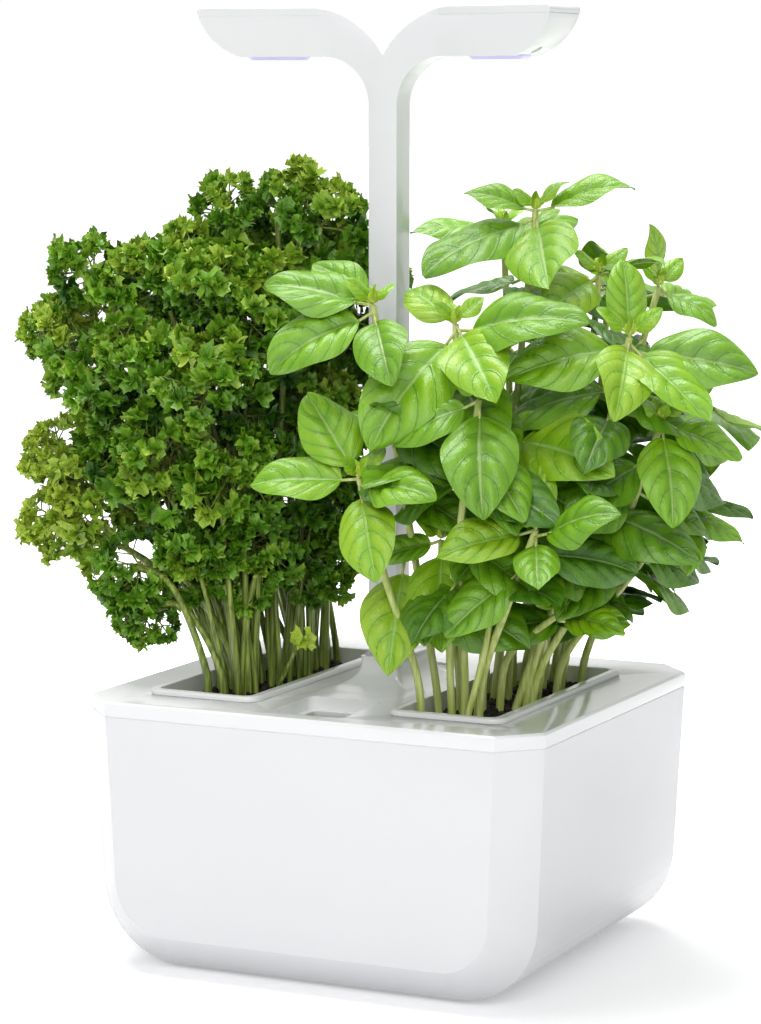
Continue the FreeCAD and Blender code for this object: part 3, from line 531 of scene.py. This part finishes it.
def basil_blade(heap, base, axes, length, rng, tone, width=LEAF_ASPECT):
    """One leaf: folded along its midrib, puckered between its veins and curled at the tip."""
    rows_n, cols = (36, 14) if length > 18 else (14, 8)
    along, across, normal = axes
    curl = rng.uniform(0.35, 1.05)
    fold = rng.uniform(0.15, 0.5)
    roll = rng.uniform(0.45, 1.0)
    twist = rng.uniform(-0.45, 0.45)
    phase = rng.uniform(0, 6.28)
    pucker = length * rng.uniform(0.040, 0.058)
    wave = 0.035 * length
    half_max = length * width / 2
    x, z = 0.0, 0.0
    rows = []
    for i in range(rows_n + 1):
        t = i / rows_n
        angle = curl * (0.45 - t ** 1.4)
        if i:
            x += math.cos(angle) * length / rows_n
            z += math.sin(angle) * length / rows_n
        half = half_max * blade_outline(t) + 0.25
        row = []
        for j in range(cols + 1):
            s = 2 * j / cols - 1
            v = s * half
            q = (t - VEIN_SWEEP * abs(s) ** VEIN_CURVE) * VEINS
            bulge = abs(math.sin(math.pi * q)) ** 0.6 * (1 - abs(s) ** 3) * min(1, abs(s) * 3)
            h = fold * math.sqrt(v * v + 0.3) - roll * v * v / (half_max * 2.0)
            h += pucker * (bulge - 0.5) * min(1, half / half_max)
            h += wave * math.sin(t * 9 + phase + (2 if s > 0 else 0)) * s * s
            lean = twist * t
            dv = v * math.cos(lean) - h * math.sin(lean)
            dh = v * math.sin(lean) + h * math.cos(lean)
            spot = base + along * (x - math.sin(angle) * dh) + across * dv
            spot += normal * (z + math.cos(angle) * dh)
            # Painted light and shade on the blade: lighter on the raised puckers and darker in the vein
            # grooves between them, lighter towards the margin as painted light shining through the thin edge,
            # and darker towards the tip.
            shade = tone + 0.22 * (bulge - 0.5) + 0.14 * abs(s) ** 3 - 0.1 * t
            row.append((spot, (t, s * 0.5 + 0.5), shade))
        rows.append(row)
    heap.grid(rows)


def basil_leaf(blades, stems, centre, azimuth, droop, length, rng, tone, face, lift=0.0):
    """Leaf with its petiole, set so that its upper side faces as asked."""
    direction = heading(azimuth, droop)
    start = Vector(centre) + Vector((0, 0, lift))
    petiole = min(6.0, length * 0.16)
    base = start + direction * petiole
    tube(stems, [start, start + direction * petiole * 0.6, base + direction * 1.0], PETIOLE_R, 0.6, 6)
    basil_blade(blades, base, aim(direction, face), length - petiole, rng, tone)


def has_room(centre, azimuth, droop, length):
    """True where a leaf keeps clear of the lamp, the pedestal, the parsley and the slot."""
    for share in (0.4, 0.7, 1.0):
        p = Vector(centre) + heading(azimuth, droop) * length * share
        underside = CROWN_FRONT_Z if p.y < 0 else CROWN_BACK_Z
        underside += CROWN_SLOPE * max(0, p.x - CROWN_SLOPE_X)
        if p.z < underside or (p.x < PEDESTAL_ROOM[0] and p.z < PEDESTAL_ROOM[1]):
            return False
        if p.x > REACH_X or abs(p.y) > REACH_Y or p.x < PARSLEY_EDGE_X:
            return False
        if p.y > COLUMN_FRONT_Y and p.x < COLUMN_X + length * 0.3 * 0.6:
            return False
    return True


def build_basil():
    """Leaves of the crown, leaves inside it, and all stems, as three heaps."""
    rng = random.Random(BASIL_SEED)
    blades, lower, stems = Heap(), Heap(), Heap()
    for centre, leaves in BASIL_SPRIGS:
        c = Vector(centre)
        outward = Vector((c.x - BASIL_AXIS[0], c.y - BASIL_AXIS[1], 0))
        outward = outward.normalized() if outward.length > 1 else Vector((0, -1, 0))
        to_light = Vector((0, 0, 1)) + outward * 0.45
        if c.y < 45:
            to_light += VIEWER * 0.75
        for i, (azimuth, droop, length) in enumerate(leaves):
            tone = rng.uniform(0.25, 0.55)
            basil_leaf(blades, stems, c, azimuth, droop, length, rng, tone, to_light, -2.2 * (i // 2))
        turn = rng.uniform(0, 90)
        for k in range(2 * len(YOUNG_PAIRS)):
            pair = k // 2
            least, greatest, droop, tone = YOUNG_PAIRS[pair]
            size = rng.uniform(least, greatest)
            azimuth = turn + 180 * k + 90 * pair
            basil_leaf(blades, stems, c, azimuth, droop, size, rng, tone, to_light, 1.0)
        for k in range(BUDS):
            bud = heading(turn + 360 / BUDS * k, -70)
            basil_blade(blades, c + bud, aim(bud, VIEWER), 4.0, rng, 0.95, 0.5)
        foot_x = limit(46 + (c.x - 60) * 0.3, *BASIL_FEET[0])
        foot_y = limit(c.y * 0.75, *BASIL_FEET[1])
        foot = Vector((foot_x, foot_y, SOIL_TOP - FOOT_DEPTH))
        neck = foot.lerp(c, 0.1)
        neck.z = NECK_Z + 4
        sway = Vector((rng.uniform(-4, 4), rng.uniform(-4, 4), 0))
        path = smooth_path([foot, neck, neck.lerp(c, 0.5) + sway, c], 7)
        tube(stems, path, BASIL_STEM_R, rng.uniform(0.3, 0.8), 9, 0.03, 0.75)
        add_lower_leaves(lower, stems, path, rng, outward)
    basil_leaf(lower, stems, HANGING_LEAF, -80, 62, 44, rng, 0.6, (0.35, -1, 0.5))
    add_plain_stems(stems, rng)
    return blades, lower, stems


def add_lower_leaves(blades, stems, path, rng, outward):
    """Pairs of leaves down each stem, each pair square to the last."""
    face = Vector((0, 0, 1)) + outward * 0.5 + VIEWER * 0.35
    turn = rng.uniform(0, 180)
    for share in LOWER_PAIRS:
        point = path[int(share * (len(path) - 1))]
        if point.z < LOWEST_PAIR:
            continue
        turn += 90
        for side in (0, 180):
            azimuth = turn + side + rng.uniform(-20, 20)
            droop = rng.uniform(0, 42)
            length = rng.uniform(32, 46)
            if has_room(point, azimuth, droop, length):
                # Leaves low under the crown get a darker tone than those of the crown: painted shade.
                basil_leaf(blades, stems, point, azimuth, droop, length, rng, rng.uniform(0.0, 0.35), face)


def add_plain_stems(stems, rng):
    """More stems low in the slot, that end inside the crown."""
    for k in range(PLAIN_STEMS):
        foot_y = -51 + 6.4 * k
        foot = Vector((rng.uniform(33, 60), foot_y + rng.uniform(-2, 2), SOIL_TOP - FOOT_DEPTH))
        top = Vector((foot.x + rng.uniform(-5, 16), foot.y + rng.uniform(-8, 8), rng.uniform(138, 170)))
        bend = foot.lerp(top, 0.5) + Vector((rng.uniform(-2, 2), rng.uniform(-2, 2), 0))
        radius = rng.uniform(1.2, 1.7)
        tube(stems, smooth_path([foot, bend, top], 6), radius, rng.uniform(0.3, 0.8), 9, 0.03, 0.8)


# Parsley

def leaflet(heap, base, axes, size, rng, tone):
    """Small fan cut into pointed lobes, with a ruffle."""
    along, across, normal = axes
    spokes = LOBES * len(LOBE_EDGE)
    phase = rng.uniform(0, 6.28)
    waves = rng.choice((2.5, 3.5, 4.5))
    ruffle = rng.uniform(0.3, 0.6)
    cup = rng.uniform(-0.35, 0.55)
    rows = []
    for ring in (0.06, 0.45, 1.0):
        row = []
        for k in range(spokes + 1):
            theta = math.radians(-FAN + 2 * FAN * k / spokes)
            edge = LOBE_EDGE[k % len(LOBE_EDGE)]
            middle = 0.72 + 0.28 * math.cos(theta * 0.75)
            r = size * ring * middle * (edge if ring == 1.0 else 0.9)
            h = size * ring * (ruffle * ring * math.sin(theta * waves + phase) + cup * ring)
            spot = base + along * (r * math.cos(theta)) + across * (r * math.sin(theta)) + normal * h
            # Lighter towards the lobe tips: painted light shining through the thin edges.
            row.append((spot, (ring, k / spokes), tone + 0.16 * ring * edge))
        rows.append(row)
    heap.grid(rows)


def frond(heap, stems, base, direction, length, rng, tone, face):
    """Leaf of parsley: a thin rib with side sprays of leaflets and a tuft at its end."""
    x, y, z = aim(direction, face)
    tip = base + x * length - Vector((0, 0, length * 0.12))
    middle = base + x * length * 0.55 - Vector((0, 0, length * 0.02))
    rib = smooth_path([base, middle, tip], 4)
    tube(stems, rib, 0.42, 0.5, 5, 0.0, 0.6)
    tuft(heap, tip, x, z, length, rng, tone + 0.08)
    for share, reach in ((0.40, 0.44), (0.72, 0.34)):
        joint = rib[int(share * (len(rib) - 1))]
        for side in (-1, 1):
            out = (x * 0.75 + y * side * 0.9 + z * rng.uniform(-0.3, 0.4)).normalized()
            end = joint + out * length * reach
            tube(stems, [joint, joint.lerp(end, 0.5), end], 0.3, 0.5, 5, 0.0, 0.7)
            tuft(heap, end, out, z, length, rng, tone)


def tuft(heap, end, out, up, length, rng, tone):
    """Four leaflets that spread from the end of a twig."""
    for turn in (-1.1, -0.3, 0.4, 1.2):
        size = limit(length * rng.uniform(0.21, 0.31), 3.6, 5.8)
        way = out + out.cross(up) * turn + up * rng.uniform(-0.6, 0.6)
        tilt = up + Vector((rng.uniform(-0.7, 0.7), rng.uniform(-0.7, 0.7), rng.uniform(-0.3, 0.5)))
        leaflet(heap, end, aim(way, tilt), size, rng, tone + rng.uniform(-0.16, 0.2))


def build_parsley():
    """Leaflets as several heaps, and all stalks and ribs as one."""
    rng = random.Random(PARSLEY_SEED)
    heaps = [Heap() for _ in range(PARSLEY_PIECES)]
    stems = Heap()
    for n, clump in enumerate(PARSLEY_CLUMPS):
        add_clump(heaps[n % PARSLEY_PIECES], stems, clump, n, rng)
    add_wilted_leaf(heaps[0], stems, rng)
    add_parsley_stalks(stems, rng)
    return heaps, stems


def add_clump(heap, stems, clump, spin_start, rng):
    """Fronds spread evenly round a centre, denser towards the outside of the crown."""
    x, y, z, radius = clump
    c = Vector((x, y, z))
    out = (c - Vector(PARSLEY_AXIS)).normalized()
    face = Vector((0, 0, 1)) + out * 0.6 + VIEWER * 0.5
    loose = z > 250 or x < -112 or radius < 13
    count = 7 if loose else 4 + int(radius * 0.5)
    for k in range(count):
        rise = 1 - 2 * (k + 0.5) / count
        spin = 2.4 * k + spin_start
        flat = math.sqrt(1 - rise * rise)
        direction = Vector((flat * math.cos(spin), flat * math.sin(spin), rise)) + out * 0.5
        direction.normalize()
        depth = max(0.0, direction.dot(out))
        # Fronds that face out of the clump and upward are lighter and inner ones darker: painted light and
        # shade.
        tone = 0.02 + 0.42 * depth * rng.uniform(0.6, 1.2) + 0.10 * direction.z
        if x < -105 and z < 225:
            tone += 0.22 + (0.25 if z < 190 else 0)
        reach = radius * (rng.uniform(1.2, 1.55) if loose else rng.uniform(0.75, 1.45))
        frond(heap, stems, c - direction * radius * 0.12, direction, reach, rng, tone, face)


def add_wilted_leaf(heap, stems, rng):
    """Small yellow leaf that leans out over the deck."""
    leaf = Vector(WILTED_LEAF)
    twig = [leaf + Vector((-13, 5, -20)), leaf + Vector((-5, 3, -6)), leaf]
    tube(stems, smooth_path(twig, 5), 0.7, 0.6, 7)
    for turn in (-1, 0, 1):
        way = Vector((0.5 * turn, -0.8, -0.6))
        leaflet(heap, leaf, aim(way, (0.2 * turn, -1, 0.4)), 5.5, rng, 1.0)


def add_parsley_stalks(stems, rng):
    """Sheaf of stalks from the soil of the left slot into the crown."""
    for i in range(PARSLEY_STALKS):
        x, y, z, radius = PARSLEY_CLUMPS[(i * 5) % len(PARSLEY_CLUMPS)]
        jitter = Vector((rng.uniform(-1, 1), rng.uniform(-1, 1), 0)) * radius * 0.5
        top = Vector((x, y, z)) + jitter
        foot_x = limit(-46 + (x + 62) * 0.2 + rng.uniform(-5, 5), *PARSLEY_FEET[0])
        foot_y = limit(y + rng.uniform(-12, 12), *PARSLEY_FEET[1])
        foot = Vector((foot_x, foot_y, SOIL_TOP - FOOT_DEPTH))
        neck = foot + Vector(((top.x - foot.x) * 0.06, (top.y - foot.y) * 0.06, 18))
        middle = neck.lerp(top, 0.45) + Vector((0, 0, 12))
        radius = PARSLEY_STALK_R * rng.uniform(0.75, 1.2)
        path = smooth_path([foot, neck, middle, top], 6)
        tube(stems, path, radius, rng.uniform(0.1, 0.8), 10, 0.07, 0.6)


# Soil

def wall_gap(x, y):
    """Distance from a point of the soil to the nearest wall of its slot."""
    return min(x - SLOT_X[0], SLOT_X[1] - x, y - SLOT_Y[0], SLOT_Y[1] - y)


def mound(gap):
    return SOIL_MOUND * min(1.0, gap / SOIL_SLOPE) ** 0.7


def build_soil(side):
    """Loose surface of the growing medium in one slot, with crumbs lying on it."""
    rng = random.Random(SOIL_SEED + side)
    heap = Heap()
    x0, x1 = SLOT_X
    y0, y1 = SLOT_Y
    nx, ny = SOIL_GRID
    rows = []
    for i in range(ny + 1):
        row = []
        for j in range(nx + 1):
            x, y = x0 + (x1 - x0) * j / nx, y0 + (y1 - y0) * i / ny
            lump = noise.noise(Vector((x, y, 3.1 * side)) * 0.35) + 0.5 * noise.noise(Vector((x, y, 7)) * 0.9)
            gap = wall_gap(x, y)
            rise = 0 if gap < 0.01 else mound(gap) + 1.3 * lump
            row.append(((side * x, y, SOIL_TOP - 0.4 + rise), (0, 0), 0))
        rows.append(row)
    heap.grid(rows)
    close_soil(heap, nx, ny)
    for _ in range(CRUMBS):
        x, y = rng.uniform(x0 + 2, x1 - 2), rng.uniform(y0 + 2, y1 - 2)
        level = SOIL_TOP + mound(wall_gap(x, y))
        spot = (x, y, level + rng.uniform(-0.5, 0.9))
        crumb(heap, side, spot, rng.uniform(0.5, 1.5), rng)
    return heap


def close_soil(heap, nx, ny):
    """Walls from the rim of the surface down to the bottom of the medium, and its underside."""
    width = nx + 1
    rim = list(range(width))
    rim += [i * width + nx for i in range(1, ny + 1)]
    rim += [ny * width + j for j in range(nx - 1, -1, -1)]
    rim += [i * width for i in range(ny - 1, 0, -1)]
    start = len(heap.verts)
    for index in rim:
        x, y, _ = heap.verts[index]
        heap.point((x, y, SOIL_BOTTOM))
    for k in range(len(rim)):
        m = (k + 1) % len(rim)
        heap.faces.append((rim[m], rim[k], start + k, start + m))
    heap.cap(start, len(rim))


def crumb(heap, side, spot, size, rng):
    """Irregular round lump."""
    rings, sides = 3, 6
    x, y, z = spot
    seed = rng.uniform(0, 50)
    rows = []
    for i in range(rings + 2):
        polar = math.pi * (i + 0.02) / (rings + 1.04)
        row = []
        for j in range(sides):
            turn = 2 * math.pi * j / sides
            flat = math.sin(polar)
            way = Vector((flat * math.cos(turn), flat * math.sin(turn), math.cos(polar)))
            r = size * (1 + 0.5 * noise.noise(way * 1.5 + Vector((seed, 0, 0))))
            row.append(((side * (x + way.x * r), y + way.y * r, z + way.z * r * 0.8), (0, 0), 0))
        rows.append(row)
    heap.grid(rows, closed=True)


# Pieces on the frame

def dress(node, bevel, slot):
    """Copy of a moulding with its corners rounded, which stands for the frame's own."""
    source = nodes[node]
    mesh = source.data.copy()
    obj = bpy.data.objects.new(node + "_skin", mesh)
    bpy.context.scene.collection.objects.link(obj)
    mesh.materials.clear()
    mesh.materials.append(MATERIALS[slot])
    weld = obj.modifiers.new("weld", "WELD")
    weld.merge_threshold = WELD_GAP
    flat = obj.modifiers.new("flat", "DECIMATE")
    flat.decimate_type = "DISSOLVE"
    flat.angle_limit = math.radians(FLAT_ANGLE)
    soft = obj.modifiers.new("soft", "BEVEL")
    soft.width = bevel * MM
    soft.segments = 3
    soft.limit_method = "ANGLE"
    soft.angle_limit = math.radians(BEVEL_ANGLE)
    soft.harden_normals = True
    bpy.context.view_layer.update()
    depsgraph = bpy.context.evaluated_depsgraph_get()
    done = bpy.data.meshes.new_from_object(obj.evaluated_get(depsgraph))
    obj.modifiers.clear()
    obj.data = done
    done.polygons.foreach_set("use_smooth", [True] * len(done.polygons))
    sharpen(obj)
    place(obj, source["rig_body"], node)


def sharpen(obj):
    """Marks edges sharper than the angle, so that flat faces stay flat."""
    bpy.context.view_layer.objects.active = obj
    obj.select_set(True)
    bpy.ops.object.shade_smooth_by_angle(angle=math.radians(SHARP_ANGLE))
    obj.select_set(False)


def finish_nodes():
    """Material of every piece of the frame, and shading of those that show as they are."""
    slots = {part["node"]: part["material_slot"] for part in frame["record"]["subparts"]}
    for name, obj in nodes.items():
        obj.data.materials.clear()
        obj.data.materials.append(MATERIALS[slots[name]])
        if name not in REPLACED:
            sharpen(obj)


def place(obj, body, replaced):
    """Puts a piece on a body of the frame, in the stead of one of its nodes."""
    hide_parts(replaced)
    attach(obj, body)


finish_nodes()
for node, (bevel, slot) in SKINS.items():
    dress(node, bevel, slot)

basil_upper, basil_lower, basil_stalks = build_basil()
for name, heap in (("upper", basil_upper), ("lower", basil_lower)):
    leaves = heap.make("basil_leaves_" + name, MATERIALS["basil_leaf"])
    place(leaves, "right_cartridge", "basil_leaves")
stalks = basil_stalks.make("basil_stalks", MATERIALS["basil_stem"])
place(stalks, "right_cartridge", "basil_stems")

parsley_heaps, parsley_stalks = build_parsley()
for n, heap in enumerate(parsley_heaps):
    leaves = heap.make("parsley_leaflets_" + str(n + 1), MATERIALS["parsley_leaf"])
    place(leaves, "left_cartridge", "parsley_foliage")
stalks = parsley_stalks.make("parsley_stalks", MATERIALS["parsley_stem"])
place(stalks, "left_cartridge", "parsley_stems")

for name, side in (("left", -1), ("right", 1)):
    soil = build_soil(side).make(name + "_soil", MATERIALS["growing_medium"])
    place(soil, name + "_cartridge", name + "_substrate")


# Stage

def build_floor():
    """Pale floor that keeps the shadow and turns white to the camera away from the part."""
    bpy.ops.mesh.primitive_plane_add(size=FLOOR_SIZE, location=(0, 0, 0))
    floor = bpy.context.object
    floor.name = "floor"
    mat = bpy.data.materials.new("floor")
    mat.use_nodes = True
    mat.node_tree.nodes.clear()
    path = add(mat, "ShaderNodeLightPath")
    coords = add(mat, "ShaderNodeTexCoord")
    reach = add(mat, "ShaderNodeVectorMath", operation="LENGTH")
    join(mat, (coords, "Object"), reach, 0)
    fade = map_range(mat, (reach, "Value"), FLOOR_NEAR[0], FLOOR_FAR[0], FLOOR_NEAR[1], FLOOR_FAR[1])
    seen = math_node(mat, "MAXIMUM", (path, "Is Camera Ray"), (path, "Is Glossy Ray"))
    diffuse = add(mat, "ShaderNodeBsdfDiffuse", Color=(*FLOOR_COLOR, 1))
    glow = add(mat, "ShaderNodeEmission")
    join(mat, math_node(mat, "MULTIPLY", seen, fade), glow, "Strength")
    total = add(mat, "ShaderNodeAddShader")
    join(mat, (diffuse, "BSDF"), total, 0)
    join(mat, (glow, "Emission"), total, 1)
    join(mat, (total, "Shader"), add(mat, "ShaderNodeOutputMaterial"), "Surface")
    floor.data.materials.append(mat)


def build_world():
    """White where it is seen or mirrored, and a plain pale light elsewhere."""
    world = bpy.data.worlds.new("studio")
    bpy.context.scene.world = world
    world.use_nodes = True
    back = world.node_tree.nodes["Background"]
    back.inputs["Color"].default_value = (1, 1, 1, 1)
    path = add(world, "ShaderNodeLightPath")
    mirrored = math_node(world, "MAXIMUM", (path, "Is Glossy Ray"), (path, "Is Transmission Ray"))
    seen = math_node(world, "MAXIMUM", (path, "Is Camera Ray"), mirrored)
    join(world, map_range(world, seen, 0.0, 1.0, WORLD_LIGHT, 1.0), back, "Strength")


def build_light(name, spot, target, width, power):
    data = bpy.data.lights.new(name, "AREA")
    data.shape = "SQUARE"
    data.size = width
    data.energy = power
    obj = bpy.data.objects.new(name, data)
    obj.location = spot
    obj.rotation_euler = (Vector(target) - Vector(spot)).to_track_quat("-Z", "Y").to_euler()
    bpy.context.scene.collection.objects.link(obj)


def build_camera():
    data = bpy.data.cameras.new("camera")
    data.lens = CAMERA_LENS
    data.sensor_width = SENSOR_WIDTH
    data.sensor_fit = "AUTO"
    data.shift_x, data.shift_y = CAMERA_SHIFT
    data.clip_start, data.clip_end = CAMERA_CLIP
    obj = bpy.data.objects.new("camera", data)
    obj.location = CAMERA_AT
    obj.rotation_euler = (math.radians(90 - CAMERA_ELEVATION), 0, math.radians(CAMERA_AZIMUTH))
    bpy.context.scene.collection.objects.link(obj)
    bpy.context.scene.camera = obj


build_floor()
build_world()
for light in LIGHTS:
    build_light(*light)
build_camera()
bpy.context.scene.view_settings.view_transform = "Standard"
